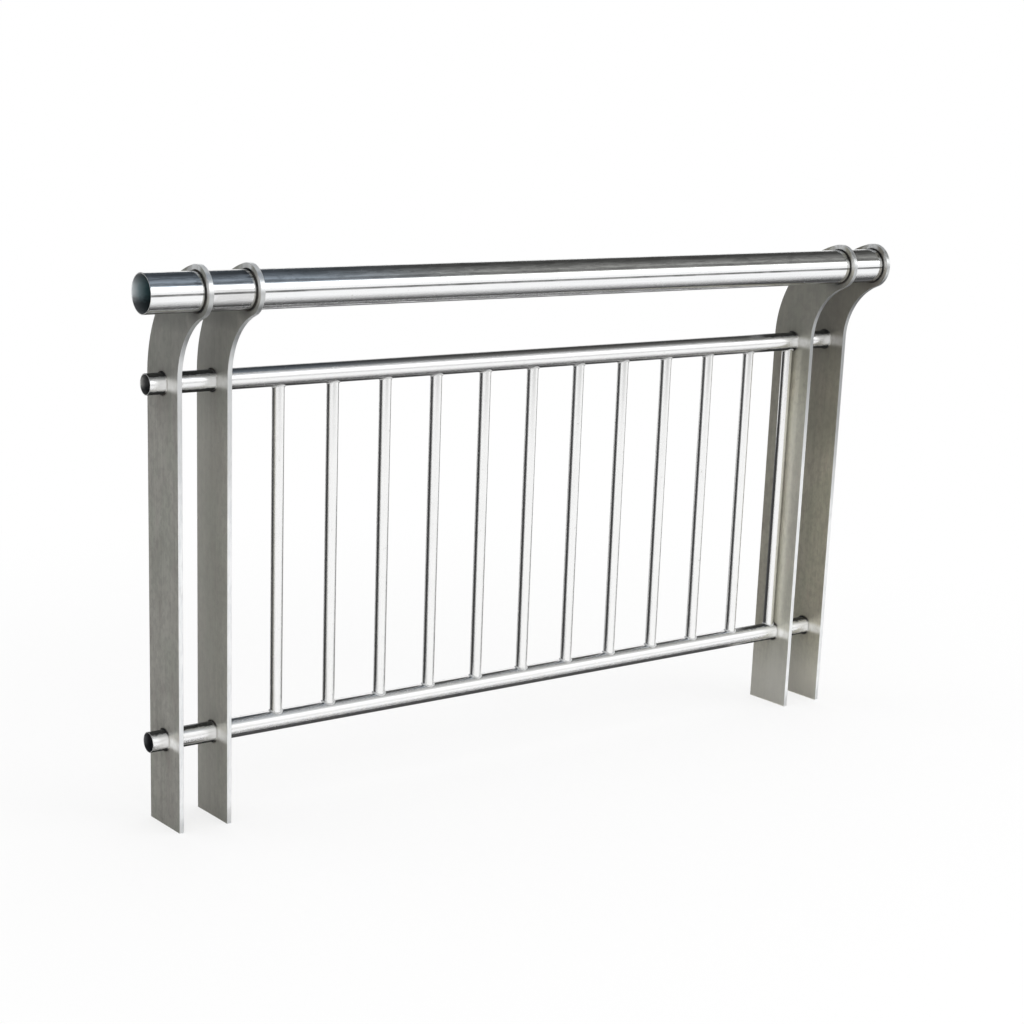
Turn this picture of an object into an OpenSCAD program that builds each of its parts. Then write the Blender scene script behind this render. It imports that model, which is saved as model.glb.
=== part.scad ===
// Bridge guardrail panel of stainless steel.
// Two posts, each a pair of flat plates whose heads curve forward into an eye.
// A large handrail tube runs through the four eyes. Two smaller rails pass
// through the plates, and twelve round balusters stand between these rails.
// +X runs along the panel, -Y faces the walkway, +Z is up, sizes in mm.
// The origin is the middle of the foot of the left outer plate.

/* [Posts] */
// Thickness of each post plate
plate_t = 10; // [8:1:14]
// Width of the straight part of a plate, front to back
plate_w = 120; // [100:1:130]
// Distance between the two plates of one post, middle to middle
pair_gap = 108; // [80:1:140]
// Distance between the outer plates of the two posts, middle to middle
post_span = 1786; // [1780:1:1790]

/* [Plate head] */
// Height at which the plate begins to curve forward
neck_z = 900; // [890:1:910]
// Radius of the hollow curve on the front of the neck
neck_front_r = 140; // [130:1:150]
// How far the middle of the eye stands in front of the middle of the plate
eye_reach = 132; // [125:1:140]
// Height of the middle of the eye
eye_z = 1080; // [1070:1:1090]
// Width of metal round the hole of the eye
eye_wall = 12; // [10:0.5:14]

/* [Handrail] */
// Outer diameter of the handrail tube
handrail_d = 76; // [70:1:80]
// Wall thickness of the handrail tube
handrail_wall = 2; // [1.5:0.5:3]
// Length of handrail beyond the left outer plate
handrail_stub = 112; // [60:1:140]
// Length of all three tubes beyond the right outer plate, room for the weld bead
tube_end_show = 4; // [3.5:0.5:10]

/* [Rails] */
// Outer diameter of the upper and lower rails
rail_d = 42; // [38:1:46]
// Wall thickness of the upper and lower rails
rail_wall = 2; // [1.5:0.5:3]
// Height of the middle of the upper rail
upper_rail_z = 893; // [850:1:900]
// Height of the middle of the lower rail
lower_rail_z = 181; // [120:1:240]
// Length of both rails beyond the left outer plate
rail_stub = 36; // [20:1:80]

/* [Balusters] */
// Outer diameter of a baluster
baluster_d = 25; // [20:1:26]
// Wall thickness of a baluster
baluster_wall = 1.5; // [1:0.5:2]
// Distance from one baluster to the next
baluster_pitch = 127.8; // [122:0.1:132]
// Clear space between the last baluster and the right inner plate
last_baluster_gap = 2.5; // [1:0.5:20]

/* [Welds] */
// Height and width of the weld bead where a tube passes a plate
weld_leg = 3; // [2:0.5:3.5]
// Space left between a tube and the hole it passes through
hole_play = 0.3; // [0.1:0.1:0.6]

/* [Hidden] */
$fn = 64;
// Number of balusters
baluster_count = 12;
// Extra depth of a cutting shape beyond the face it cuts
over = 1;
// How far the face of a weld bead bows in, as a share of its leg
weld_throat = 0.42;
// Middles of the four plates along the panel
left_outer_x = 0;
left_inner_x = pair_gap;
right_inner_x = post_span - pair_gap;
right_outer_x = post_span;
// Ends of the tubes along the panel
right_end_x = right_outer_x + plate_t / 2 + tube_end_show;
handrail_left_x = -plate_t / 2 - handrail_stub;
rail_left_x = -plate_t / 2 - rail_stub;
// Radii of the tubes and of the eye
handrail_r = handrail_d / 2;
rail_r = rail_d / 2;
baluster_r = baluster_d / 2;
eye_r = handrail_r + eye_wall;
// Middle of the first baluster
last_baluster_x = right_inner_x - plate_t / 2 - last_baluster_gap - baluster_r;
first_baluster_x = last_baluster_x - (baluster_count - 1) * baluster_pitch;

// Plate outline, drawn in the plane [y, z]
half_w = plate_w / 2;
eye_mid = [-eye_reach, eye_z];
eye_rise = eye_z - neck_z;
// The back curve starts upright at the neck and runs smoothly into the eye
back_reach = eye_reach + half_w;
back_r = (back_reach * back_reach + eye_rise * eye_rise - eye_r * eye_r) / (2 * (back_reach - eye_r));
back_mid = [half_w - back_r, neck_z];
back_way = (eye_mid - back_mid) / norm(eye_mid - back_mid);
back_beyond = back_mid + back_way * (back_r + 10 * over);
// The front curve starts upright at the height at which its radius makes it touch the eye
front_overlap = neck_front_r + half_w - eye_reach;
front_rise = sqrt(pow(neck_front_r + eye_r, 2) - pow(front_overlap, 2));
front_mid = [-half_w - neck_front_r, eye_z - front_rise];
front_turn = [-half_w, front_mid[1]];

// Turns a drawing in [y, z] into a plate standing across the panel
module across(x, thick) {
    translate([x - thick / 2, 0, 0])
        rotate([90, 0, 90])
            linear_extrude(thick) children();
}

// Turns a shape drawn round the Z axis so that it lies along the panel
module along(x, y, z) {
    translate([x, y, z])
        rotate([0, 90, 0]) children();
}

// The blade and its neck, up to the lines on which both curves touch the eye
module blade() {
    difference() {
        intersection() {
            union() {
                translate([-half_w - over, 0]) square([plate_w + over, neck_z]);
                translate(back_mid) circle(back_r, $fn = 256);
            }
            polygon([
                [-half_w, -over],
                [half_w + over, -over],
                [half_w + over, eye_z + eye_r],
                back_beyond,
                eye_mid,
                front_mid,
                front_turn
            ]);
        }
        translate(front_mid) circle(neck_front_r, $fn = 128);
    }
}

module plate_outline() {
    difference() {
        union() {
            blade();
            translate(eye_mid) circle(eye_r, $fn = 96);
        }
        translate(eye_mid) circle(handrail_r + hole_play);
        translate([0, upper_rail_z]) circle(rail_r + hole_play);
        translate([0, lower_rail_z]) circle(rail_r + hole_play);
    }
}

module post_plate(x) {
    color([0.55, 0.55, 0.53]) across(x, plate_t) plate_outline();
}

module tube(from_x, y, z, r, wall) {
    color([0.8, 0.8, 0.8])
        along(from_x, y, z)
            difference() {
                cylinder(h = right_end_x - from_x, r = r);
                translate([0, 0, -over]) cylinder(h = right_end_x - from_x + 2 * over, r = r - wall);
            }
}

// One weld bead: a small ring with a hollow face, seated on tube and plate
module weld_ring(r) {
    rotate_extrude($fn = 48)
        polygon([
            [r, 0],
            [r + weld_leg, 0],
            [r + weld_leg * weld_throat, weld_leg * weld_throat],
            [r, weld_leg]
        ]);
}

module weld_pair(x, y, z, r) {
    translate([x + plate_t / 2, y, z]) rotate([0, 90, 0]) weld_ring(r);
    translate([x - plate_t / 2, y, z]) rotate([0, -90, 0]) weld_ring(r);
}

module plate_welds(x) {
    color([0.6, 0.58, 0.55]) {
        weld_pair(x, -eye_reach, eye_z, handrail_r);
        weld_pair(x, 0, upper_rail_z, rail_r);
        weld_pair(x, 0, lower_rail_z, rail_r);
    }
}

module baluster(n) {
    x = first_baluster_x + (n - 1) * baluster_pitch;
    color([0.85, 0.85, 0.85])
        difference() {
            translate([x, 0, lower_rail_z]) cylinder(h = upper_rail_z - lower_rail_z, r = baluster_r);
            translate([x, 0, lower_rail_z - over])
                cylinder(h = upper_rail_z - lower_rail_z + 2 * over, r = baluster_r - baluster_wall);
            along(x - baluster_d, 0, lower_rail_z) cylinder(h = 2 * baluster_d, r = rail_r);
            along(x - baluster_d, 0, upper_rail_z) cylinder(h = 2 * baluster_d, r = rail_r);
        }
}

module left_outer_plate() { post_plate(left_outer_x); }
module left_inner_plate() { post_plate(left_inner_x); }
module right_inner_plate() { post_plate(right_inner_x); }
module right_outer_plate() { post_plate(right_outer_x); }
module left_outer_welds() { plate_welds(left_outer_x); }
module left_inner_welds() { plate_welds(left_inner_x); }
module right_inner_welds() { plate_welds(right_inner_x); }
module right_outer_welds() { plate_welds(right_outer_x); }
module handrail() { tube(handrail_left_x, -eye_reach, eye_z, handrail_r, handrail_wall); }
module upper_rail() { tube(rail_left_x, 0, upper_rail_z, rail_r, rail_wall); }
module lower_rail() { tube(rail_left_x, 0, lower_rail_z, rail_r, rail_wall); }
module baluster_01() { baluster(1); }
module baluster_02() { baluster(2); }
module baluster_03() { baluster(3); }
module baluster_04() { baluster(4); }
module baluster_05() { baluster(5); }
module baluster_06() { baluster(6); }
module baluster_07() { baluster(7); }
module baluster_08() { baluster(8); }
module baluster_09() { baluster(9); }
module baluster_10() { baluster(10); }
module baluster_11() { baluster(11); }
module baluster_12() { baluster(12); }

left_outer_plate();
left_inner_plate();
right_inner_plate();
right_outer_plate();
left_outer_welds();
left_inner_welds();
right_inner_welds();
right_outer_welds();
handrail();
upper_rail();
lower_rail();
baluster_01();
baluster_02();
baluster_03();
baluster_04();
baluster_05();
baluster_06();
baluster_07();
baluster_08();
baluster_09();
baluster_10();
baluster_11();
baluster_12();
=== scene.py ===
import math

import bmesh
import bpy
from mathutils import Matrix, Vector


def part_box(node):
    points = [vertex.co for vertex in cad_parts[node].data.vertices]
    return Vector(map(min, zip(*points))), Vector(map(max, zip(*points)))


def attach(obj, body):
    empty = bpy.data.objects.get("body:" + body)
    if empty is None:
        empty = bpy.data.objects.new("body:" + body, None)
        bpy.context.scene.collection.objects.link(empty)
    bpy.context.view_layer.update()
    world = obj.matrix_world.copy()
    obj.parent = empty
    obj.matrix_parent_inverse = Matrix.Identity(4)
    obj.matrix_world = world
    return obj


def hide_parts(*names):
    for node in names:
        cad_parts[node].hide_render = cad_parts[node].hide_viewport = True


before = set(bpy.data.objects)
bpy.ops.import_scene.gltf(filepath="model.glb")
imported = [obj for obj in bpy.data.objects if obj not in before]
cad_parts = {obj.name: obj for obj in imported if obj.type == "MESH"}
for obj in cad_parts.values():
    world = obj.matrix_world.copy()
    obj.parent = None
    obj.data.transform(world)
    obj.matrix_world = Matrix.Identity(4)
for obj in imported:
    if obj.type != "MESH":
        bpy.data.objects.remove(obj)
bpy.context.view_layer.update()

# Sizes of the guardrail in metres, as in the part's source
PLATE_T = 0.010
PLATE_HALF_W = 0.060
PLATE_EDGE = 0.0009
NECK_Z = 0.900
NECK_FRONT_R = 0.140
EYE_Y, EYE_Z = -0.132, 1.080
EYE_WALL = 0.012
HANDRAIL_R, HANDRAIL_WALL = 0.038, 0.002
EYE_R = HANDRAIL_R + EYE_WALL
RAIL_R, RAIL_WALL = 0.021, 0.002
BALUSTER_R, BALUSTER_WALL = 0.0125, 0.0015
HOLE_PLAY = 0.0003
UPPER_Z, LOWER_Z = 0.893, 0.181
LIP = 0.0006

PLATES = ("left_outer", "left_inner", "right_inner", "right_outer")
BALUSTERS = tuple(f"baluster_{n:02d}" for n in range(1, 13))


def middle(node):
    low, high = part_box(node)
    return (low + high) / 2


PLATE_X = {name: middle(name + "_plate").x for name in PLATES}
RIGHT_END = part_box("handrail")[1].x


# ---------------------------------------------------------------- camera

# The photograph's view: place of the lens, turn to the right, dip and tilt in degrees
VIEW_PLACE = (-1.9216, -3.5608, 1.5029)
VIEW_TURN, VIEW_DIP, VIEW_TILT = 38.022, 15.285, 2.181
VIEW_FOCAL = 2106.5
VIEW_AXIS_DOWN = 128.0
FRAME_PIXELS = 1024
SENSOR = 36.0
NEAREST, FARTHEST = 0.05, 200


def make_camera():
    turn, dip, tilt = (math.radians(a) for a in (VIEW_TURN, VIEW_DIP, VIEW_TILT))
    ahead = Vector((math.sin(turn) * math.cos(dip), math.cos(turn) * math.cos(dip), -math.sin(dip)))
    right = ahead.cross(Vector((0, 0, 1))).normalized()
    up = right.cross(ahead)
    tilted_right = right * math.cos(tilt) + up * math.sin(tilt)
    tilted_up = up * math.cos(tilt) - right * math.sin(tilt)
    data = bpy.data.cameras.new("view")
    data.sensor_width = SENSOR
    data.lens = VIEW_FOCAL * SENSOR / FRAME_PIXELS
    data.shift_y = VIEW_AXIS_DOWN / FRAME_PIXELS
    data.clip_start, data.clip_end = NEAREST, FARTHEST
    camera = bpy.data.objects.new("view", data)
    bpy.context.scene.collection.objects.link(camera)
    turned = Matrix((tilted_right, tilted_up, -ahead)).transposed().to_4x4()
    camera.matrix_world = Matrix.Translation(VIEW_PLACE) @ turned
    bpy.context.scene.camera = camera


make_camera()


# ---------------------------------------------------------------- shader maths

class Value:
    """A socket of a shader tree. Sums and products on it add Math nodes."""

    def __init__(self, kit, socket):
        self.kit = kit
        self.socket = socket

    def math(self, operation, *others):
        return self.kit.node("ShaderNodeMath", {"operation": operation}, [self, *others])

    def __add__(self, other):
        return self.math("ADD", other)

    def __radd__(self, other):
        return self.math("ADD", other)

    def __mul__(self, other):
        return self.math("MULTIPLY", other)

    def __rmul__(self, other):
        return self.math("MULTIPLY", other)

    def __sub__(self, other):
        return self.math("SUBTRACT", other)

    def __rsub__(self, other):
        return self.kit.node("ShaderNodeMath", {"operation": "SUBTRACT"}, [other, self])

    def __truediv__(self, other):
        return self.math("DIVIDE", other)

    def __pow__(self, other):
        return self.math("POWER", other)

    def __abs__(self):
        return self.math("ABSOLUTE")

    def clamped(self):
        return self.kit.node("ShaderNodeClamp", {}, [self, 0.0, 1.0])


class Kit:
    """Adds nodes to one material's or world's tree."""

    def __init__(self, owner):
        owner.use_nodes = True
        self.tree = owner.node_tree
        self.tree.nodes.clear()

    def node(self, kind, settings=None, inputs=(), out=0):
        """A node with its settings, the values or links of its inputs, and the output that is used."""
        made = self.tree.nodes.new(kind)
        for name, value in (settings or {}).items():
            if name == "stops":
                self.fill_ramp(made.color_ramp, value)
            else:
                setattr(made, name, value)
        pairs = inputs.items() if isinstance(inputs, dict) else enumerate(inputs)
        for key, value in pairs:
            socket = made.inputs[key]
            if isinstance(value, Value):
                self.tree.links.new(value.socket, socket)
            else:
                socket.default_value = value
        return Value(self, made.outputs[out]) if made.outputs else made

    def fill_ramp(self, ramp, stops):
        while len(ramp.elements) > 1:
            ramp.elements.remove(ramp.elements[-1])
        for n, (place, colour) in enumerate(stops):
            stop = ramp.elements[0] if n == 0 else ramp.elements.new(place)
            stop.position = place
            stop.color = (*colour, 1.0)

    def place(self):
        return self.node("ShaderNodeTexCoord", out="Object")

    def axes(self, vector):
        split = self.node("ShaderNodeSeparateXYZ", {}, [vector])
        outputs = split.socket.node.outputs
        return [Value(self, outputs[n]) for n in range(3)]

    def scaled(self, vector, scale):
        return self.node("ShaderNodeMapping", {}, {"Vector": vector, "Scale": scale})

    def noise(self, vector, scale, detail=3.0, roughness=0.5, distortion=0.0):
        return self.node("ShaderNodeTexNoise", {}, {
            "Vector": vector, "Scale": scale, "Detail": detail,
            "Roughness": roughness, "Distortion": distortion})

    def step(self, value, low, high, from_value=0.0, to_value=1.0):
        return self.node("ShaderNodeMapRange", {"interpolation_type": "SMOOTHSTEP"}, {
            "Value": value, "From Min": low, "From Max": high,
            "To Min": from_value, "To Max": to_value})

    def fade(self, value, low, high, level=1.0):
        """The level up to low, falling to 0 at high."""
        return self.step(value, low, high, level, 0.0)

    def ramp(self, value, stops):
        return self.node("ShaderNodeValToRGB", {"stops": stops}, [value])

    def mix(self, share, first, second, blend="MIX"):
        """Mixes two colours, each a link or three numbers."""
        first, second = (c if isinstance(c, Value) else (*c, 1.0) for c in (first, second))
        # A Mix node has its colours on inputs 6 and 7 and on output 2
        return self.node("ShaderNodeMix", {"data_type": "RGBA", "blend_type": blend},
                         {0: share, 6: first, 7: second}, out=2)

    def surface(self, **sockets):
        """The one finish shader of a material, with its sockets by name."""
        named = {key.replace("_", " "): value for key, value in sockets.items()}
        shader = self.node("ShaderNodeBsdfPrincipled", {}, named, out="BSDF")
        self.node("ShaderNodeOutputMaterial", {}, {"Surface": shader})

    def bump(self, height, strength, distance):
        return self.node("ShaderNodeBump", {}, {
            "Strength": strength, "Distance": distance, "Height": height}, out="Normal")


def new_finish(name):
    material = bpy.data.materials.new(name)
    return material, Kit(material)


# ---------------------------------------------------------------- finishes

# The three tubes that pass a plate: y, z and radius
CROSSINGS = ((EYE_Y, EYE_Z, HANDRAIL_R), (0.0, UPPER_Z, RAIL_R), (0.0, LOWER_Z, RAIL_R))
# Stretches along the panel over which a finish changes
LEFT_TO_RIGHT = (0.6, 1.4)
AT_LEFT_PAIR = (0.098, 0.106)
RIGHT_INNER = (1.5, 1.74)
# The way, in x and y, from the left and the back, in which the painted dark line lies on the balusters
DARK_LINE_WAY = (-0.8, 0.6)
# Colours painted on the steel: a white glow as a painted highlight, heat brown, painted shade, a darker tone
# for the right plates, a pale foot, a painted highlight for the eye rings, near black
GLOW_WHITE = (1.0, 1.0, 0.98)
HEAT_BROWN = (0.130, 0.115, 0.100)
TUBE_SHADE = (0.10, 0.10, 0.098)
NECK_SHADE = (0.22, 0.22, 0.21)
RIGHT_DARK = (0.22, 0.20, 0.185)
PALE_FOOT = (0.95, 0.93, 0.86)
RING_HIGHLIGHT = (0.95, 0.96, 0.97)
NEAR_BLACK = (0.012, 0.013, 0.012)
# Colours that a plate takes over its clouds
ROLLED_STEEL = [
    (0.30, (0.490, 0.455, 0.420)), (0.45, (0.590, 0.575, 0.525)),
    (0.60, (0.660, 0.650, 0.590)), (0.75, (0.600, 0.545, 0.510))]
# Heat colours of a weld bead
HEATED_STEEL = [
    (0.30, (0.022, 0.024, 0.030)), (0.45, (0.050, 0.050, 0.048)),
    (0.58, (0.095, 0.086, 0.074)), (0.72, (0.050, 0.040, 0.034))]


def band(kit, value, low, high, soft):
    """1 between low and high, with soft ends."""
    return kit.step(value, low - soft, low + soft) * kit.fade(value, high - soft, high + soft)


def most(values):
    """The largest of several values."""
    largest = values[0]
    for value in values[1:]:
        largest = largest.math("MAXIMUM", value)
    return largest


def distance(a, b):
    return (a * a + b * b) ** 0.5


def heat_round_welds(kit, y, z, reach):
    """1 beside a weld bead, fading to 0 at reach from it; beside the rails only above and below."""
    rings = []
    for mid_y, mid_z, radius in CROSSINGS:
        near = kit.fade(distance(y - mid_y, z - mid_z), radius + 0.002, radius + reach)
        if radius == RAIL_R:
            near = near * kit.step(abs(z - mid_z), 0.55 * radius, 0.95 * radius)
        rings.append(near)
    return most(rings)


def left_faces(kit, x):
    """1 on the half of each plate that looks to the left end of the panel."""
    halves = []
    for plate_x in PLATE_X.values():
        reached = kit.step(x, plate_x - PLATE_T, plate_x - 0.8 * PLATE_T)
        halves.append(reached * kit.fade(x, plate_x - 0.001, plate_x + 0.001))
    return sum(halves)


def level_with_rails(kit, z, inner, outer, level):
    """The level at the height of a rail's middle, fading to 0 between two shares of its radius."""
    return sum(kit.fade(abs(z - mid_z), inner * radius, outer * radius, level)
               for mid_y, mid_z, radius in CROSSINGS[1:])


def glow_bands(kit, y, z):
    """1 on the bands of a plate that carry a painted highlight, a white glow from the rails forward to the
    front edge.
    """
    level = level_with_rails(kit, z, 0.15, 0.80, 1.0)
    return level * kit.fade(y, -0.021, -0.006) * kit.step(y, -0.060, -0.024, 0.8, 1.0)


def beside_plates(kit, x, reach):
    """1 on a tube beside the left face of a plate, fading to 0 at reach from it."""
    sides = []
    for plate_x in PLATE_X.values():
        away = (plate_x - PLATE_T / 2) - x
        sides.append(kit.fade(away, 0.002, reach) * kit.step(away, -0.002, 0.0))
    return most(sides)


def rolled_steel(kit, x, y, z, grain):
    """Steel from the mill, brushed upright, warmer to the right, lighter on the left inner plate towards its
    back, with painted light on the front half of the right inner plate.
    """
    lines, broad, clouds, tints, mottle = grain
    steel = kit.ramp(clouds, ROLLED_STEEL)
    tinted = kit.mix(kit.step(tints, 0.42, 0.62, 0.0, 0.40), steel, (0.525, 0.570, 0.480))
    brushed = kit.mix(kit.step(lines, 0.30, 0.70, 0.0, 0.32), tinted, (0.80, 0.79, 0.74))
    streaked = kit.mix(kit.step(broad, 0.36, 0.66, 0.0, 0.20), brushed, (0.37, 0.35, 0.32))
    mottled = kit.mix(kit.step(mottle, 0.42, 0.64, 0.0, 0.30), streaked, (0.34, 0.33, 0.31))
    warmed = kit.mix(kit.step(x, *LEFT_TO_RIGHT), mottled, (1.0, 0.975, 0.90), "MULTIPLY")
    light = band(kit, x, 0.05, 0.50, 0.02) * kit.step(y, -0.04, 0.03, 0.20, 0.50)
    # Painted light on the lower front half of the right inner plate
    front = kit.fade(y, -0.010, 0.015, 0.30) * kit.fade(z, 0.70, 0.80) * band(kit, x, *RIGHT_INNER, 0.02)
    return kit.mix(light + front, warmed, (0.93, 0.92, 0.85))


def brushed_plate():
    """Flat bar brushed upright, with painted shade at the neck and under the handrail, and a painted
    highlight on the tops and fronts of the eye rings.
    """
    material, kit = new_finish("brushed_plate")
    place = kit.place()
    x, y, z = kit.axes(place)
    lines = kit.noise(kit.scaled(place, (900.0, 900.0, 7.0)), 1.0, 4.0, 0.65)
    broad = kit.noise(kit.scaled(place, (190.0, 190.0, 2.2)), 1.0, 3.0, 0.6)
    clouds = kit.noise(kit.scaled(place, (8.0, 22.0, 9.0)), 1.0, 4.0, 0.6, 0.6)
    tints = kit.noise(kit.scaled(place, (5.0, 16.0, 6.0)), 1.0, 2.0, 0.5, 0.8)
    mottle = kit.noise(kit.scaled(place, (60.0, 85.0, 62.0)), 1.0, 3.0, 0.65, 0.4)
    steel = rolled_steel(kit, x, y, z, (lines, broad, clouds, tints, mottle))
    # Painted highlight: the rails' bright band carried on over the plate as a white glow
    painted_glow = glow_bands(kit, y, z) * left_faces(kit, x) * kit.step(mottle, 0.36, 0.60, 1.0, 0.75)
    heat = heat_round_welds(kit, y, z, 0.006)
    halo = kit.mix(heat * (0.25 + 0.5 * tints), kit.mix(painted_glow, steel, GLOW_WHITE), HEAT_BROWN)
    dy = y - EYE_Y
    dz = z - EYE_Z
    away = distance(dy, dz)
    # Painted shade: the handrail's shadow just below it, and the neck in its shade
    below = kit.fade(dz, -0.03, 0.0) * kit.step(dy, -0.022, 0.004, 0.25, 1.0)
    under = kit.fade(away, HANDRAIL_R, HANDRAIL_R + 0.030, 0.74) * below
    neck = kit.step(z + 0.06 * clouds, 0.78, 0.98) * kit.fade(z, 1.03, 1.12)
    sheltered = kit.step(z, 0.96, 1.02, 0.0, 0.62) * kit.step(y, -0.11, -0.09) * kit.fade(z, 1.03, 1.06)
    dim = most([neck * kit.step(x, 0.9, 1.6, 0.38, 0.58), sheltered])
    shaded = kit.mix(dim, kit.mix(under, halo, TUBE_SHADE), NECK_SHADE)
    foot = kit.fade(z, 0.04, 0.20, 0.70) * kit.step(x, *LEFT_TO_RIGHT)
    footed = kit.mix(foot, shaded, PALE_FOOT)
    # Painted shade on the back half of the right inner plate, and the right outer plate darker higher up
    behind = kit.step(y, -0.005, 0.020) * band(kit, z, 0.20, 0.86, 0.03) * band(kit, x, *RIGHT_INNER, 0.02)
    outer = kit.step(x, 1.75, 1.77) * kit.step(z, 0.56, 0.70, 0.0, 0.36)
    darker_right = behind * kit.step(z, 0.56, 0.74, 0.09, 0.34) + outer
    # Painted highlight: the eye rings lighter and less metallic on their tops and fronts only
    crest = kit.step(dz, 0.026, 0.038) * kit.step(dy, -0.022, -0.010) * kit.step(dy, 0.012, 0.024, 1.0, 0.5)
    prow = kit.fade(dy, -0.040, -0.034, 0.60) * kit.step(dz, -0.008, 0.004)
    on_ring = kit.fade(away, EYE_R - 0.001, EYE_R + 0.001)
    ring = on_ring * most([crest, prow]) * kit.step(mottle, 0.36, 0.60, 1.0, 0.7)
    kit.surface(
        Base_Color=kit.mix(ring, kit.mix(darker_right, footed, RIGHT_DARK), RING_HIGHLIGHT),
        Metallic=0.66 - 0.60 * painted_glow - 0.36 * ring,
        Roughness=0.32 + 0.12 * lines + 0.06 * clouds + 0.10 * heat,
        Normal=kit.bump(0.7 * lines + 0.3 * broad, 0.10, 0.0004))
    return material


def ground_edge():
    """The edges of the plates, ground manually and brighter than the faces, darker towards the neck."""
    material, kit = new_finish("ground_edge")
    place = kit.place()
    x, y, z = kit.axes(place)
    strokes = kit.noise(kit.scaled(place, (240.0, 30.0, 30.0)), 1.0, 4.0, 0.6)
    patches = kit.noise(place, 26.0, 3.0, 0.55)
    metal = kit.mix(kit.step(strokes, 0.35, 0.68), (0.92, 0.93, 0.93), (0.80, 0.82, 0.83))
    worn = kit.mix(kit.step(patches, 0.50, 0.74, 0.0, 0.30), metal, (0.66, 0.66, 0.64))
    # On the right outer plate the darkening starts lower down
    lower = kit.step(x, 1.72, 1.76, 0.0, 0.12)
    toward_neck = kit.step(z + lower, 0.52, 0.86) * kit.fade(z, 0.95, 1.06)
    darker_to_neck = toward_neck * kit.step(x, *LEFT_TO_RIGHT, 0.42, 0.92)
    eyes = kit.step(z, 0.98, 1.06) * kit.step(x, *LEFT_TO_RIGHT) * kit.step(patches, 0.36, 0.60, 0.75, 0.35)
    nose = kit.fade(y, -0.175, -0.150, 0.62) * band(kit, z, 1.02, 1.082, 0.006)
    crown = kit.step(z, 1.112, 1.121) * kit.step(y, -0.150, -0.125, 0.34, 0.62)
    matt = crown + kit.fade(z, 0.03, 0.09, 0.50)
    kit.surface(
        Base_Color=kit.mix(most([darker_to_neck, eyes, nose]), worn, (0.34, 0.35, 0.35)),
        Metallic=0.90 - matt,
        Roughness=0.22 + 0.12 * strokes + 0.06 * patches,
        Normal=kit.bump(strokes, 0.08, 0.0003))
    return material


def tube_skin(kit, place, grain_scale, tone):
    """The polish all tubes share: fine lines, dull smears and a few small marks."""
    lines = kit.noise(kit.scaled(place, grain_scale), 1.0, 4.0, 0.6)
    smears = kit.noise(place, 9.0, 3.0, 0.6, 0.5)
    mark = kit.step(kit.noise(place, 130.0, 2.0, 0.5), 0.70, 0.78)
    metal = kit.mix(kit.step(lines, 0.32, 0.70, 0.0, 0.25), tone, tuple(0.86 * c for c in tone))
    darkened = kit.mix(kit.step(smears, 0.50, 0.72, 0.0, 0.20), metal, tuple(0.90 * c for c in tone))
    colour = kit.mix(mark * 0.35, darkened, (0.40, 0.39, 0.37))
    return colour, (lines, smears, mark)


def finish_tube(kit, grain, colour, metallic, rough):
    lines, smears, mark = grain
    kit.surface(
        Base_Color=colour,
        Metallic=metallic,
        Roughness=rough + 0.05 * lines + 0.05 * kit.step(smears, 0.45, 0.75) + 0.15 * mark,
        Normal=kit.bump(lines, 0.035, 0.0002))


def polished_handrail():
    """Nearly a mirror, with painted dark streaks on its upper side, a painted dark line along it, painted
    shade between the left plates and under it at the posts, and heat tint with painted dark beside the
    plates.
    """
    material, kit = new_finish("polished_handrail")
    place = kit.place()
    x, y, z = kit.axes(place)
    skin, grain = tube_skin(kit, place, (5.0, 620.0, 620.0), (0.930, 0.935, 0.940))
    up = (z - EYE_Z) / HANDRAIL_R
    streaks = kit.noise(kit.scaled(place, (16.0, 120.0, 120.0)), 1.0, 4.0, 0.65, 0.6)
    flecks = kit.noise(kit.scaled(place, (30.0, 150.0, 150.0)), 1.0, 3.0, 0.6)
    # Painted reflection: the upper side darkened in streaks, as where the dark above is mirrored
    upper = kit.step(up, 0.30, 0.50)
    painted_dark_top = kit.mix(upper * kit.step(streaks, 0.42, 0.62, 0.0, 0.34), skin, (0.20, 0.20, 0.20))
    mottled_top = kit.mix(upper * kit.step(flecks, 0.50, 0.70, 0.0, 0.35), painted_dark_top, (0.42, 0.42, 0.42))
    # Painted shade on the stretch of handrail between the left plates
    between = band(kit, x, 0.012, 0.098, 0.008) * kit.step(streaks, 0.30, 0.60, 0.15, 0.48)
    darkened = kit.mix(between, mottled_top, (0.50, 0.49, 0.48))
    # Painted reflection: a dark line along the handrail where a mirrored dark strip would show
    painted_line = band(kit, up, -0.078, 0.024, 0.018) * kit.step(streaks, 0.36, 0.60, 0.95, 0.62)
    with_painted_line = kit.mix(painted_line, darkened, (0.18, 0.18, 0.18))
    # Heat tint in a thin ring beside each plate, with a painted reflection of the plate darkening the top
    # nearby
    plate_mirrored_dark = upper * beside_plates(kit, x, 0.030) * kit.step(flecks, 0.40, 0.60)
    heat = (beside_plates(kit, x, 0.006) + plate_mirrored_dark).clamped()
    tinted_and_darkened = kit.mix(heat * (0.60 + 0.6 * grain[1]), with_painted_line, (0.06, 0.06, 0.06))
    at_posts = kit.fade(x, *AT_LEFT_PAIR) + kit.step(x, 1.58, 1.62)
    shaded = kit.mix(at_posts * kit.fade(up, -0.93, -0.78, 0.85), tinted_and_darkened, (0.05, 0.05, 0.05))
    finish_tube(kit, grain, shaded, 1.0, 0.085)
    return material


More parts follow.
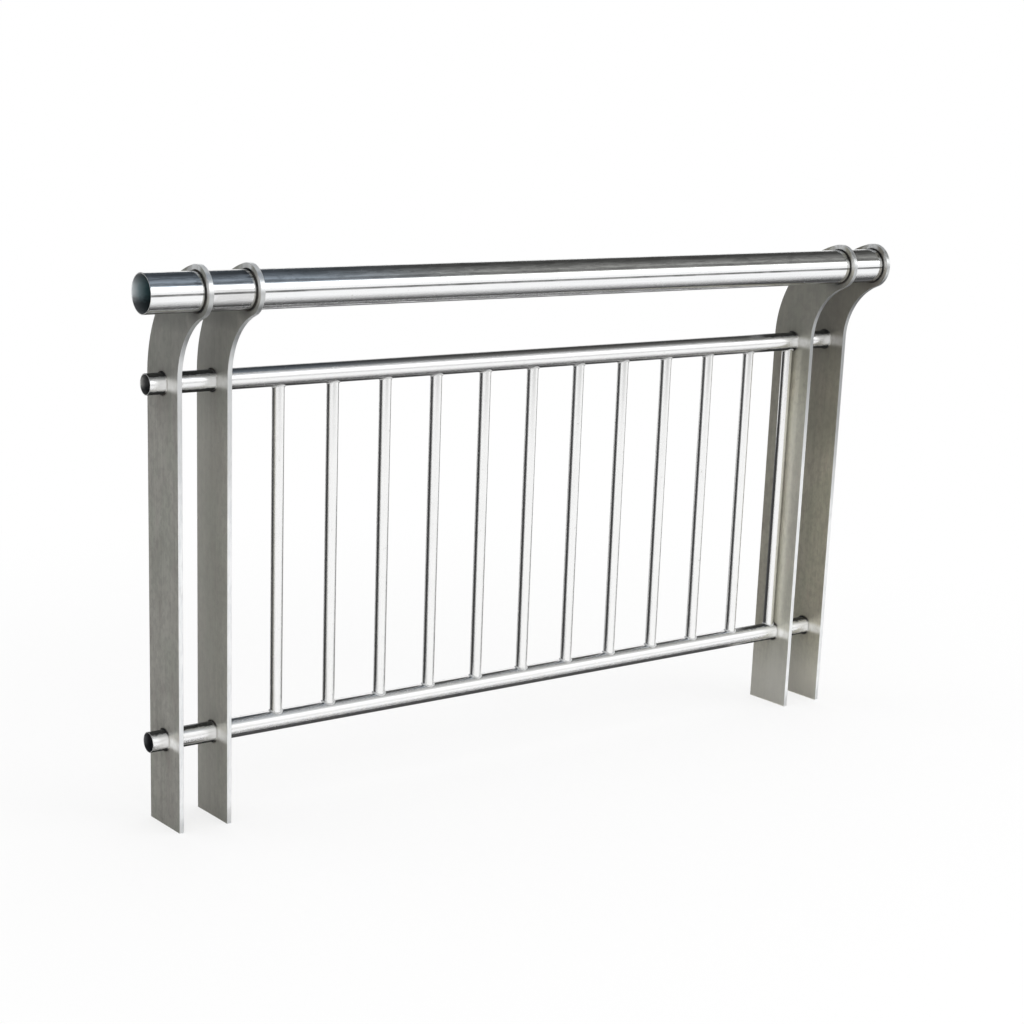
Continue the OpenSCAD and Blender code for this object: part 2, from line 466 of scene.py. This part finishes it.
def polished_rail():
    """Polished rail: bright along its face with a painted highlight beside the plates, painted shade on the
    top and underside of the upper rail, and nearly black above and below where it meets the plates.
    """
    material, kit = new_finish("polished_rail")
    place = kit.place()
    x, y, z = kit.axes(place)
    skin, grain = tube_skin(kit, place, (5.0, 760.0, 760.0), (0.930, 0.930, 0.930))
    higher = kit.step(z, 0.45, 0.55)
    lower = 1.0 - higher
    up = (z - LOWER_Z - (UPPER_Z - LOWER_Z) * higher) / RAIL_R
    from_mid = abs(up)
    blotches = kit.noise(kit.scaled(place, (90.0, 160.0, 160.0)), 1.0, 3.0, 0.6)
    at_posts = (kit.fade(x, *AT_LEFT_PAIR) + kit.step(x, 1.51, 1.58)).clamped()
    edge = from_mid + 0.30 * blotches + kit.fade(up, -0.2, 0.2, 0.10) - lower * kit.step(up, 0.0, 0.2, 0.0, 0.12)
    # Nearly black blotches above and below the rail near the posts
    blackened = at_posts * kit.step(edge, 0.74, 0.90)
    # Painted shade: the top and the underside of the upper rail made darker
    dim_top = kit.mix(higher * kit.step(up, 0.45, 0.75, 0.0, 0.40), skin, (0.30, 0.30, 0.31))
    dim_under = kit.mix(higher * kit.fade(up, -0.80, -0.45, 0.78), dim_top, (0.20, 0.20, 0.20))
    # Painted highlight: near the plates the rail is made less metallic, so that it shows white
    painted_glow = beside_plates(kit, x, 0.045) * kit.fade(from_mid, 0.35, 0.62, 0.80)
    flank = 0.45 * (band(kit, up, 0.10, 0.55, 0.12) + lower * band(kit, up, 0.30, 0.72, 0.12))
    matt = most([painted_glow, flank, 0.70 * blackened])
    finish_tube(kit, grain, kit.mix(blackened * 0.98, dim_under, NEAR_BLACK), 1.0 - matt,
                0.16 + blackened * kit.fade(up, -0.2, 0.2, 0.60))
    return material


def polished_baluster():
    """Polished baluster with a painted dark upright line on its left side and a less metallic, lighter rim
    at its left edge.
    """
    material, kit = new_finish("polished_baluster")
    place = kit.place()
    x, y, z = kit.axes(place)
    skin, grain = tube_skin(kit, place, (760.0, 760.0, 6.0), (0.940, 0.940, 0.935))
    first = middle(BALUSTERS[0]).x
    pitch = (middle(BALUSTERS[-1]).x - first) / (len(BALUSTERS) - 1)
    turn = (x - (first - pitch / 2)).math("MODULO", pitch) - pitch / 2
    last = kit.step(x, 1.55, 1.60)
    # 1 on the line of a baluster where the painted dark line lies, -1 opposite
    side = (turn * DARK_LINE_WAY[0] + y * DARK_LINE_WAY[1]) / BALUSTER_R - 0.16 * last
    dark_line = band(kit, side, 0.42, 0.76, 0.06)
    rim = kit.step(side, 0.80, 0.90, 0.0, 0.70) * (1.0 - last)
    matt = most([rim, 0.45 * band(kit, side, 0.05, 0.32, 0.06)])
    finish_tube(kit, grain, kit.mix(dark_line * 0.66, skin, (0.10, 0.10, 0.11)), 1.0 - matt, 0.13)
    return material


def tube_inside(node, mid_z, radius, stops):
    """The dull inside wall of a tube: painted light that gets in at the mouth and is lost further in, and
    painted shade low and high on the wall.
    """
    material, kit = new_finish(node + "_inside")
    place = kit.place()
    x, y, z = kit.axes(place)
    film = kit.noise(place, 24.0, 4.0, 0.6)
    shade_noise = kit.noise(place, 160.0, 3.0, 0.6)
    depth = (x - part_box(node)[0].x).math("MINIMUM", RIGHT_END - x) / (2 * radius)
    wall = kit.ramp(depth + 0.25 * (film - 0.5), stops)
    up = (z - mid_z) / radius
    dark = kit.fade(up + 0.4 * (shade_noise - 0.5), -0.60, 0.0, 0.88) + kit.step(up, 0.15, 0.85, 0.0, 0.80)
    kit.surface(
        Base_Color=kit.mix(dark, wall, (0.020, 0.022, 0.025)),
        Metallic=0.15,
        Roughness=0.40 + 0.2 * film,
        Normal=kit.bump(film, 0.08, 0.0004))
    return material


def sawn_end():
    """The bare cut end of a tube, with the marks of the saw."""
    material, kit = new_finish("sawn_end")
    cuts = kit.noise(kit.scaled(kit.place(), (200.0, 1500.0, 260.0)), 1.0, 3.0, 0.6)
    kit.surface(
        Base_Color=kit.mix(cuts, (0.70, 0.70, 0.69), (0.92, 0.92, 0.90)),
        Metallic=0.35,
        Roughness=0.28 + 0.2 * cuts,
        Normal=kit.bump(cuts, 0.12, 0.0003))
    return material


def weld_metal():
    """Weld beads round the tubes: dark heat colours, with a painted highlight level with the middle of a
    rail.
    """
    material, kit = new_finish("weld_metal")
    place = kit.place()
    heat = kit.noise(place, 60.0, 3.0, 0.55, 0.3)
    skin = kit.noise(place, 900.0, 3.0, 0.6)
    dull = kit.mix(kit.step(skin, 0.4, 0.7, 0.0, 0.4), kit.ramp(heat, HEATED_STEEL), (0.050, 0.050, 0.050))
    # Painted highlight on the beads, level with the middle of a rail
    painted_glow = level_with_rails(kit, kit.axes(place)[2], 0.45, 0.85, 0.92)
    kit.surface(
        Base_Color=kit.mix(painted_glow, dull, (0.74, 0.73, 0.70)),
        Metallic=0.90 - 0.5 * painted_glow,
        Roughness=0.36 + 0.2 * skin,
        Normal=kit.bump(skin, 0.10, 0.0003))
    return material


def dressed_weld():
    """The small beads at the balusters, brushed bright after welding."""
    material, kit = new_finish("dressed_weld")
    place = kit.place()
    skin = kit.noise(place, 700.0, 3.0, 0.6)
    patches = kit.noise(place, 70.0, 2.0, 0.5)
    metal = kit.mix(kit.step(skin, 0.35, 0.70), (0.88, 0.88, 0.88), (0.66, 0.66, 0.65))
    kit.surface(
        Base_Color=kit.mix(kit.step(patches, 0.52, 0.70, 0.0, 0.35), metal, (0.45, 0.44, 0.42)),
        Metallic=0.85,
        Roughness=0.28 + 0.2 * skin,
        Normal=kit.bump(skin, 0.10, 0.0003))
    return material


PLATE_FINISH = brushed_plate()
EDGE_FINISH = ground_edge()
HANDRAIL_FINISH = polished_handrail()
RAIL_FINISH = polished_rail()
BALUSTER_FINISH = polished_baluster()
# Painted light on the inside walls, darkening by the depth from the mouth in tube widths
HANDRAIL_INSIDE = tube_inside("handrail", EYE_Z, HANDRAIL_R, [
    (0.02, (0.86, 0.90, 0.92)), (0.20, (0.38, 0.48, 0.51)), (0.42, (0.09, 0.17, 0.19)),
    (0.75, (0.02, 0.035, 0.04))])
UPPER_INSIDE = tube_inside("upper_rail", UPPER_Z, RAIL_R, [
    (0.02, (0.60, 0.60, 0.58)), (0.25, (0.16, 0.16, 0.16)), (0.80, (0.02, 0.02, 0.02))])
LOWER_INSIDE = tube_inside("lower_rail", LOWER_Z, RAIL_R, [
    (0.02, (0.20, 0.21, 0.22)), (0.25, (0.04, 0.04, 0.045)), (0.80, (0.01, 0.01, 0.01))])
END_FINISH = sawn_end()
WELD_FINISH = weld_metal()
DRESSED_FINISH = dressed_weld()


# ---------------------------------------------------------------- making pieces

# Steps of the curves of a plate, and sides of the tubes
BACK_STEPS, EYE_STEPS, FRONT_STEPS, HOLE_STEPS = 48, 64, 36, 72
TUBE_SIDES, BALUSTER_SIDES = 128, 64
# Two faces that meet at more than this many degrees share a crisp edge
CRISP_ANGLE = 12.0
# A face of a plate looks along the panel by at least this much, its edges by less
FLAT_FACE = 0.95
# Places of the materials of a tube
SKIN, BORE, CUT = 0, 1, 2


def mark_sharp_edges(mesh):
    """Smooth shading everywhere, but a crisp line where faces meet at a wide angle."""
    shape = bmesh.new()
    shape.from_mesh(mesh)
    bmesh.ops.remove_doubles(shape, verts=shape.verts, dist=1e-6)
    bmesh.ops.recalc_face_normals(shape, faces=shape.faces)
    for face in shape.faces:
        face.smooth = True
    for edge in shape.edges:
        bent = len(edge.link_faces) != 2 or edge.calc_face_angle(0.0) > math.radians(CRISP_ANGLE)
        edge.smooth = not bent
    shape.to_mesh(mesh)
    shape.free()


def add_piece(name, mesh, replaced=()):
    piece = bpy.data.objects.new(name, mesh)
    bpy.context.scene.collection.objects.link(piece)
    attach(piece, "root")
    if replaced:
        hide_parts(*replaced)


def arc(mid, radius, start, end, steps):
    """Points on a circle in the plane of a plate, angles in degrees from +Y towards +Z."""
    points = []
    for n in range(steps + 1):
        angle = math.radians(start + (end - start) * n / steps)
        points.append((mid[0] + radius * math.cos(angle), mid[1] + radius * math.sin(angle)))
    return points


def add_loop(data, loop):
    """Adds a closed run of straight lines to a curve."""
    spline = data.splines.new("POLY")
    spline.points.add(len(loop) - 1)
    for point, place in zip(spline.points, loop):
        point.co = (*place, 1.0)
    spline.use_cyclic_u = True


def plain_mesh(drawn):
    """The evaluated mesh of a curve's object; the curve goes, with its modifiers."""
    data = drawn.data
    bpy.context.view_layer.update()
    mesh = bpy.data.meshes.new_from_object(drawn.evaluated_get(bpy.context.evaluated_depsgraph_get()))
    drawn.modifiers.clear()
    bpy.data.objects.remove(drawn)
    bpy.data.curves.remove(data)
    return mesh


def plate_outline():
    """The outer edge of a plate: foot, back curve, eye, and the front curve that touches the eye."""
    rise = EYE_Z - NECK_Z
    reach = PLATE_HALF_W - EYE_Y
    back_r = (reach ** 2 + rise ** 2 - EYE_R ** 2) / (2 * (reach - EYE_R))
    back_mid = (PLATE_HALF_W - back_r, NECK_Z)
    back_turn = math.degrees(math.atan2(EYE_Z - back_mid[1], EYE_Y - back_mid[0]))
    overlap = NECK_FRONT_R + PLATE_HALF_W + EYE_Y
    front_rise = math.sqrt((NECK_FRONT_R + EYE_R) ** 2 - overlap ** 2)
    front_mid = (-PLATE_HALF_W - NECK_FRONT_R, EYE_Z - front_rise)
    front_turn = math.degrees(math.atan2(front_rise, overlap))
    points = [(-PLATE_HALF_W, 0.0), (PLATE_HALF_W, 0.0)]
    points += arc(back_mid, back_r, 0.0, back_turn, BACK_STEPS)
    points += arc((EYE_Y, EYE_Z), EYE_R, back_turn, front_turn + 180.0, EYE_STEPS)[1:]
    points += arc(front_mid, NECK_FRONT_R, front_turn, 0.0, FRONT_STEPS)[1:]
    return points


def plate_mesh(name, x):
    """Extrudes the outline with its three holes and breaks every edge with a small bevel."""
    data = bpy.data.curves.new(name, "CURVE")
    data.dimensions = "2D"
    data.fill_mode = "BOTH"
    data.extrude = PLATE_T / 2 - PLATE_EDGE
    data.bevel_depth = PLATE_EDGE
    data.bevel_resolution = 2
    data.offset = -PLATE_EDGE
    loops = [plate_outline()]
    for mid_y, mid_z, radius in CROSSINGS:
        loops.append(arc((mid_y, mid_z), radius + HOLE_PLAY, 360.0, 360.0 / HOLE_STEPS, HOLE_STEPS - 1))
    for loop in loops:
        add_loop(data, [(y, z, 0.0) for y, z in loop])
    drawn = bpy.data.objects.new(name, data)
    bpy.context.scene.collection.objects.link(drawn)
    mesh = plain_mesh(drawn)
    standing = Matrix(((0, 0, 1, x), (1, 0, 0, 0), (0, 1, 0, 0), (0, 0, 0, 1)))
    mesh.transform(standing)
    mark_sharp_edges(mesh)
    for finish in (PLATE_FINISH, EDGE_FINISH):
        mesh.materials.append(finish)
    for face in mesh.polygons:
        face.material_index = 0 if abs(face.normal.x) > FLAT_FACE else 1
    return mesh


def make_plates():
    for name in PLATES:
        mesh = plate_mesh(name + "_blade", PLATE_X[name])
        add_piece(name + "_blade", mesh, [name + "_plate"])


def sleeve(name, rings, sides, lie, finishes, places):
    """A closed wall through rings of points, in order; lie places a point by radius, angle and ring end."""
    shape = bmesh.new()
    loops = []
    for radius, end in rings:
        loops.append([shape.verts.new(lie(radius, 2 * math.pi * n / sides, end)) for n in range(sides)])
    for low, high, place in zip(loops, loops[1:] + loops[:1], places):
        for n in range(sides):
            m = (n + 1) % sides
            face = shape.faces.new((low[n], low[m], high[m], high[n]))
            face.material_index = place
    mesh = bpy.data.meshes.new(name)
    shape.to_mesh(mesh)
    shape.free()
    mark_sharp_edges(mesh)
    for finish in finishes:
        mesh.materials.append(finish)
    return mesh


def open_tube(name, node, y, z, radius, wall, finish, inside):
    """A tube along the panel with softly broken lips and a dull inside."""
    low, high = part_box(node)
    inner = radius - wall

    def lie(r, angle, along):
        return (along, y + r * math.cos(angle), z + r * math.sin(angle))

    rings = [
        (radius, low.x + LIP), (radius, high.x - LIP), (radius - LIP, high.x), (inner + LIP, high.x),
        (inner, high.x - LIP), (inner, low.x + LIP), (inner + LIP, low.x), (radius - LIP, low.x)]
    places = [SKIN, SKIN, CUT, BORE, BORE, BORE, CUT, SKIN]
    mesh = sleeve(name, rings, TUBE_SIDES, lie, [finish, inside, END_FINISH], places)
    add_piece(name, mesh, [node])


def on_saddle(mid_x, radius, angle, end, rail_r):
    """A point round a baluster where its foot or head meets a rail of the given radius."""
    y = radius * math.sin(angle)
    saddle = math.sqrt(rail_r ** 2 - y ** 2)
    height = LOWER_Z + saddle if end == "foot" else UPPER_Z - saddle
    return (mid_x + radius * math.cos(angle), y, height)


def upright_tube(name, node):
    """A baluster whose ends are cut to the curve of the rails."""
    mid_x = middle(node).x
    inner = BALUSTER_R - BALUSTER_WALL

    def lie(r, angle, end):
        return on_saddle(mid_x, r, angle, end, RAIL_R)

    rings = [(BALUSTER_R, "foot"), (BALUSTER_R, "head"), (inner, "head"), (inner, "foot")]
    mesh = sleeve(name, rings, BALUSTER_SIDES, lie, [BALUSTER_FINISH], [SKIN] * 4)
    add_piece(name, mesh, [node])


def make_tubes():
    open_tube("handrail_tube", "handrail", EYE_Y, EYE_Z, HANDRAIL_R, HANDRAIL_WALL,
              HANDRAIL_FINISH, HANDRAIL_INSIDE)
    open_tube("upper_rail_tube", "upper_rail", 0.0, UPPER_Z, RAIL_R, RAIL_WALL,
              RAIL_FINISH, UPPER_INSIDE)
    open_tube("lower_rail_tube", "lower_rail", 0.0, LOWER_Z, RAIL_R, RAIL_WALL,
              RAIL_FINISH, LOWER_INSIDE)
    for node in BALUSTERS:
        upright_tube(node + "_tube", node)


# ---------------------------------------------------------------- weld beads

RIPPLE_WIDTH = 0.0034
RIPPLE_STEP = 0.0016
# Least and greatest size of a drop against the ripple width, and its height against its width
DROP_LEAST, DROP_MOST, DROP_HEIGHT = 0.88, 1.08, 0.62
DROP_SPLITS = 2
BEAD_SEED = 7
# How far the middle of a bead stands off the metal it joins
BEAD_SEAT = 0.0007
BEAD_STEPS = 96


def bead_tree():
    """Lays overlapping drops of metal along each curve, each a little different."""
    tree = bpy.data.node_groups.new("weld_bead", "GeometryNodeTree")
    face = tree.interface
    face.new_socket("Path", in_out="INPUT", socket_type="NodeSocketGeometry")
    for label, value in (("Ripple width", RIPPLE_WIDTH), ("Ripple step", RIPPLE_STEP)):
        face.new_socket(label, in_out="INPUT", socket_type="NodeSocketFloat").default_value = value
    face.new_socket("Seed", in_out="INPUT", socket_type="NodeSocketInt").default_value = BEAD_SEED
    face.new_socket("Finish", in_out="INPUT", socket_type="NodeSocketMaterial")
    face.new_socket("Bead", in_out="OUTPUT", socket_type="NodeSocketGeometry")

    def add(kind, **settings):
        made = tree.nodes.new(kind)
        for key, value in settings.items():
            setattr(made, key, value)
        return made

    given = add("NodeGroupInput")
    result = add("NodeGroupOutput")
    spaced = add("GeometryNodeResampleCurve", mode="LENGTH")
    drop = add("GeometryNodeMeshIcoSphere")
    drop.inputs["Subdivisions"].default_value = DROP_SPLITS
    half = add("ShaderNodeMath", operation="MULTIPLY")
    half.inputs[1].default_value = 0.5
    size = add("FunctionNodeRandomValue", data_type="FLOAT")
    size.inputs[2].default_value = DROP_LEAST
    size.inputs[3].default_value = DROP_MOST
    along = add("GeometryNodeInputTangent")
    turn = add("FunctionNodeAlignRotationToVector", axis="Z")
    flat = add("ShaderNodeCombineXYZ")
    flat.inputs[0].default_value = 1.0
    flat.inputs[1].default_value = 1.0
    flat.inputs[2].default_value = DROP_HEIGHT
    sized = add("ShaderNodeVectorMath", operation="SCALE")
    laid = add("GeometryNodeInstanceOnPoints")
    real = add("GeometryNodeRealizeInstances")
    smooth = add("GeometryNodeSetShadeSmooth")
    coated = add("GeometryNodeSetMaterial")
    for source, target in (
            (given.outputs["Path"], spaced.inputs["Curve"]),
            (given.outputs["Ripple step"], spaced.inputs["Length"]),
            (given.outputs["Ripple width"], half.inputs[0]),
            (half.outputs[0], drop.inputs["Radius"]),
            (given.outputs["Seed"], size.inputs["Seed"]),
            (along.outputs["Tangent"], turn.inputs["Vector"]),
            (flat.outputs[0], sized.inputs[0]),
            (size.outputs[1], sized.inputs["Scale"]),
            (spaced.outputs["Curve"], laid.inputs["Points"]),
            (drop.outputs["Mesh"], laid.inputs["Instance"]),
            (turn.outputs["Rotation"], laid.inputs["Rotation"]),
            (sized.outputs[0], laid.inputs["Scale"]),
            (laid.outputs["Instances"], real.inputs["Geometry"]),
            (real.outputs["Geometry"], smooth.inputs["Geometry"]),
            (smooth.outputs["Geometry"], coated.inputs["Geometry"]),
            (given.outputs["Finish"], coated.inputs["Material"]),
            (coated.outputs["Geometry"], result.inputs["Bead"])):
        tree.links.new(source, target)
    return tree


def laid_bead(name, loops, tree, finish):
    """Runs the bead tree along closed loops of points and returns a plain mesh."""
    data = bpy.data.curves.new(name, "CURVE")
    data.dimensions = "3D"
    for loop in loops:
        add_loop(data, loop)
    path = bpy.data.objects.new(name, data)
    bpy.context.scene.collection.objects.link(path)
    modifier = path.modifiers.new("bead", "NODES")
    modifier.node_group = tree
    sockets = {item.name: item.identifier for item in tree.interface.items_tree if item.in_out == "INPUT"}
    modifier[sockets["Ripple width"]] = RIPPLE_WIDTH
    modifier[sockets["Ripple step"]] = RIPPLE_STEP
    modifier[sockets["Seed"]] = len(loops)
    modifier[sockets["Finish"]] = finish
    return plain_mesh(path)


BEAD_ANGLES = [2 * math.pi * n / BEAD_STEPS for n in range(BEAD_STEPS)]


def ring_round(x, y, z, radius):
    return [(x, y + radius * math.cos(angle), z + radius * math.sin(angle)) for angle in BEAD_ANGLES]


def saddle_round(x, end):
    """The line where a baluster meets a rail."""
    return [on_saddle(x, BALUSTER_R + BEAD_SEAT, angle, end, RAIL_R + BEAD_SEAT) for angle in BEAD_ANGLES]


def make_welds():
    tree = bead_tree()
    for name in PLATES:
        loops = []
        for mid_y, mid_z, radius in CROSSINGS:
            for side in (-1, 1):
                x = PLATE_X[name] + side * (PLATE_T / 2 + BEAD_SEAT)
                loops.append(ring_round(x, mid_y, mid_z, radius + BEAD_SEAT))
        mesh = laid_bead(name + "_beads", loops, tree, WELD_FINISH)
        add_piece(name + "_beads", mesh, [name + "_welds"])
    for end in ("foot", "head"):
        loops = [saddle_round(middle(node).x, end) for node in BALUSTERS]
        mesh = laid_bead(f"baluster_{end}_beads", loops, tree, DRESSED_FINISH)
        add_piece(f"baluster_{end}_beads", mesh)


# ---------------------------------------------------------------- studio

FLOOR_HALF = 30.0
PALE = (1.0, 1.0, 1.0)
PAPER = (0.97, 0.97, 0.97)
ROOM_LIGHT = (0.90, 0.90, 0.90)
PANEL_MID = (0.89, 0.0, 0.95)
# The paper goes over into white between these distances from the panel's middle, from this share on
FADE_FROM, FADE_TO, FADE_LEAST = 0.9, 2.6, 0.70


def shown_rays(kit):
    """1 for rays that show the background: straight to the camera, mirrored or let through."""
    return most([kit.node("ShaderNodeLightPath", out=name)
                 for name in ("Is Camera Ray", "Is Glossy Ray", "Is Transmission Ray")])


def make_world():
    world = bpy.data.worlds.new("studio")
    bpy.context.scene.world = world
    kit = Kit(world)
    seen = kit.mix(shown_rays(kit), ROOM_LIGHT, PALE)
    light = kit.node("ShaderNodeBackground", {}, {"Color": seen, "Strength": 1.0})
    kit.node("ShaderNodeOutputWorld", {}, {"Surface": light})


def make_floor():
    """Pale paper that goes over into the white background round the guardrail."""
    mesh = bpy.data.meshes.new("studio_floor")
    half = FLOOR_HALF
    corners = [(-half, -half, 0), (half, -half, 0), (half, half, 0), (-half, half, 0)]
    mesh.from_pydata(corners, [], [(0, 1, 2, 3)])
    material, kit = new_finish("studio_floor")
    x, y, z = kit.axes(kit.place())
    away = distance(x - PANEL_MID[0], y)
    paper = kit.node("ShaderNodeBsdfDiffuse", {}, {"Color": (*PAPER, 1.0)})
    white = kit.node("ShaderNodeEmission", {}, {"Color": (*PALE, 1.0), "Strength": 1.0})
    fading = kit.step(away, FADE_FROM, FADE_TO, FADE_LEAST, 1.0)
    seen = kit.node("ShaderNodeMixShader", {}, [shown_rays(kit) * fading, paper, white])
    kit.node("ShaderNodeOutputMaterial", {}, {"Surface": seen})
    mesh.materials.append(material)
    floor = bpy.data.objects.new("studio_floor", mesh)
    bpy.context.scene.collection.objects.link(floor)


def dim_card(name, rows, reach, tone):
    """A card set up so that polished steel has something darker to mirror; nothing else sees it."""
    mesh = bpy.data.meshes.new(name)
    points = []
    for y, z in rows:
        points += [(x, y, z) for x in reach]
    faces = [(2 * n, 2 * n + 1, 2 * n + 3, 2 * n + 2) for n in range(len(rows) - 1)]
    mesh.from_pydata(points, [], faces)
    material, kit = new_finish(name)
    glow = kit.node("ShaderNodeEmission", {}, {"Color": tone(kit), "Strength": 1.0})
    kit.node("ShaderNodeOutputMaterial", {}, {"Surface": glow})
    mesh.materials.append(material)
    card = bpy.data.objects.new(name, mesh)
    bpy.context.scene.collection.objects.link(card)
    card.visible_camera = False
    card.visible_diffuse = False
    card.visible_transmission = False
    card.visible_shadow = False


def grey(level):
    return (level, level, level)


# How far the cards reach along the panel; the hood goes on down behind the left half only,
# where the plates mirror it
WIDE = (-9.0, 11.0)
LEFT_HALF = (-9.0, 0.9)
NEAR = (-0.1, 3.4)
# The hood is cool on the left and plain from COOL_TO on
COOL = (0.86, 1.0, 1.16)
PLAIN = (1.0, 1.0, 0.96)
COOL_FROM, COOL_TO = 2.6, 3.6
HOOD_R = 4.2
HOOD_FROM, HOOD_TO, BACK_TO = 37.0, 149.0, 178.0
HOOD_STRIPS, BACK_STRIPS = 36, 10
BACK_WALL_Y, BACK_WALL_HIGH, BACK_WALL_TONE = 4.1, 1.2, 0.10
# Angle up from the walkway side in degrees, and how bright the hood is there
HOOD_TONES = [(37, 1.0), (40, 0.50), (45, 0.19), (50, 0.17), (57, 0.26), (63, 0.34), (70, 0.27),
              (78, 0.20), (88, 0.155), (98, 0.115), (110, 0.070), (125, 0.060), (149, 0.10)]


def hood_tone(kit):
    x, y, z = kit.axes(kit.place())
    turn = kit.node("ShaderNodeMath", {"operation": "ARCTAN2"}, [z - PANEL_MID[2], PANEL_MID[1] - y])
    share = turn / math.pi
    stops = [(angle / 180, grey(level)) for angle, level in HOOD_TONES]
    tint = kit.mix(kit.step(x, COOL_FROM, COOL_TO), COOL, PLAIN)
    return kit.mix(1.0, kit.ramp(share, stops), tint, "MULTIPLY")


def floor_tone(stops, lean=0.0):
    """Tones by the distance in front of or behind a line that leans away from the panel's middle."""
    low, high = stops[0][0], stops[-1][0]

    def tone(kit):
        x, y, z = kit.axes(kit.place())
        behind = y + lean * (PANEL_MID[0] - x)
        return kit.ramp((behind - low) / (high - low),
                        [((at - low) / (high - low), grey(level)) for at, level in stops])

    return tone


def even_tone(level):
    def tone(kit):
        return (*grey(level), 1.0)

    return tone


# Tones of the floor by the distance behind the panel, in metres
BACK_FLOOR_FROM, BACK_LEAN = -1.8, 0.17
BACK_FLOOR = [(-0.30, 1.0), (-0.12, 0.55), (0.04, 0.13), (0.30, 0.11), (4.0, 0.11)]
UNDER_FLOOR = [(-1.35, 1.0), (-1.15, 0.88), (-0.90, 0.66), (-0.70, 0.47), (-0.50, 0.24), (-0.30, 0.11),
               (-0.12, 0.07), (0.00, 0.06), (0.15, 0.08), (0.35, 0.14)]
# Low white slats in front: rays that come in flat see them, steep ones pass down to the floor
SLAT_FROM, SLAT_TO, SLAT_STEP, SLAT_RISE = -0.13, -1.60, 0.07, 0.42
# Heights at which the cards that lie down and the slats start, one over the other
BACK_LIES, UNDER_LIES, SLATS_STAND = 0.001, 0.002, 0.003
# A grey strip far in front of the walkway side: where it stands, from and to which height, its tone
STRIP_Y, STRIP_LOW, STRIP_HIGH, STRIP_TONE = -5.0, 0.12, 0.78, 0.50
LAMP_PLACE, LAMP_TARGET = (2.4, -4.6, 3.4), (1.0, 0.0, 0.9)
LAMP_WIDE, LAMP_HIGH, LAMP_POWER = 9.0, 2.6, 85


def hood_rows(low, high, strips):
    """Rows of the hood, a curved card over the panel, between two angles up from the walkway side."""
    rows = []
    for n in range(strips + 1):
        angle = math.radians(low + (high - low) * n / strips)
        rows.append((PANEL_MID[1] - HOOD_R * math.cos(angle), PANEL_MID[2] + HOOD_R * math.sin(angle)))
    return rows


def make_cards():
    dim_card("hood_card", hood_rows(HOOD_FROM, HOOD_TO, HOOD_STRIPS), WIDE, hood_tone)
    dim_card("back_hood_card", hood_rows(HOOD_TO, BACK_TO, BACK_STRIPS), LEFT_HALF, hood_tone)
    back_wall = [(BACK_WALL_Y, 0.0), (BACK_WALL_Y, BACK_WALL_HIGH)]
    dim_card("back_wall_card", back_wall, LEFT_HALF, even_tone(BACK_WALL_TONE))
    back_floor = [(BACK_FLOOR_FROM, BACK_LIES), (BACK_FLOOR[-1][0], BACK_LIES)]
    dim_card("back_floor_card", back_floor, WIDE, floor_tone(BACK_FLOOR, BACK_LEAN))
    under_floor = [(UNDER_FLOOR[0][0], UNDER_LIES), (UNDER_FLOOR[-1][0], UNDER_LIES)]
    dim_card("under_floor_card", under_floor, NEAR, floor_tone(UNDER_FLOOR))
    slat_top = SLATS_STAND + SLAT_RISE * SLAT_STEP
    for n in range(int((SLAT_FROM - SLAT_TO) / SLAT_STEP) + 1):
        y = SLAT_FROM - n * SLAT_STEP
        dim_card(f"slat_card_{n}", [(y, SLATS_STAND), (y, slat_top)], NEAR, even_tone(1.0))
    strip = [(STRIP_Y, STRIP_LOW), (STRIP_Y, STRIP_HIGH)]
    dim_card("front_strip_card", strip, WIDE, even_tone(STRIP_TONE))


def make_lamp():
    data = bpy.data.lights.new("front_lamp", "AREA")
    data.shape = "RECTANGLE"
    data.size = LAMP_WIDE
    data.size_y = LAMP_HIGH
    data.energy = LAMP_POWER
    lamp = bpy.data.objects.new("front_lamp", data)
    bpy.context.scene.collection.objects.link(lamp)
    lamp.location = LAMP_PLACE
    lamp.visible_camera = False
    way = Vector(LAMP_TARGET) - Vector(LAMP_PLACE)
    lamp.rotation_mode = "QUATERNION"
    lamp.rotation_quaternion = way.to_track_quat("-Z", "Y")


def make_studio():
    make_world()
    make_floor()
    make_cards()
    make_lamp()


make_plates()
make_tubes()
make_welds()
make_studio()

bpy.context.scene.view_settings.view_transform = "Standard"

bpy.context.view_layer.update()
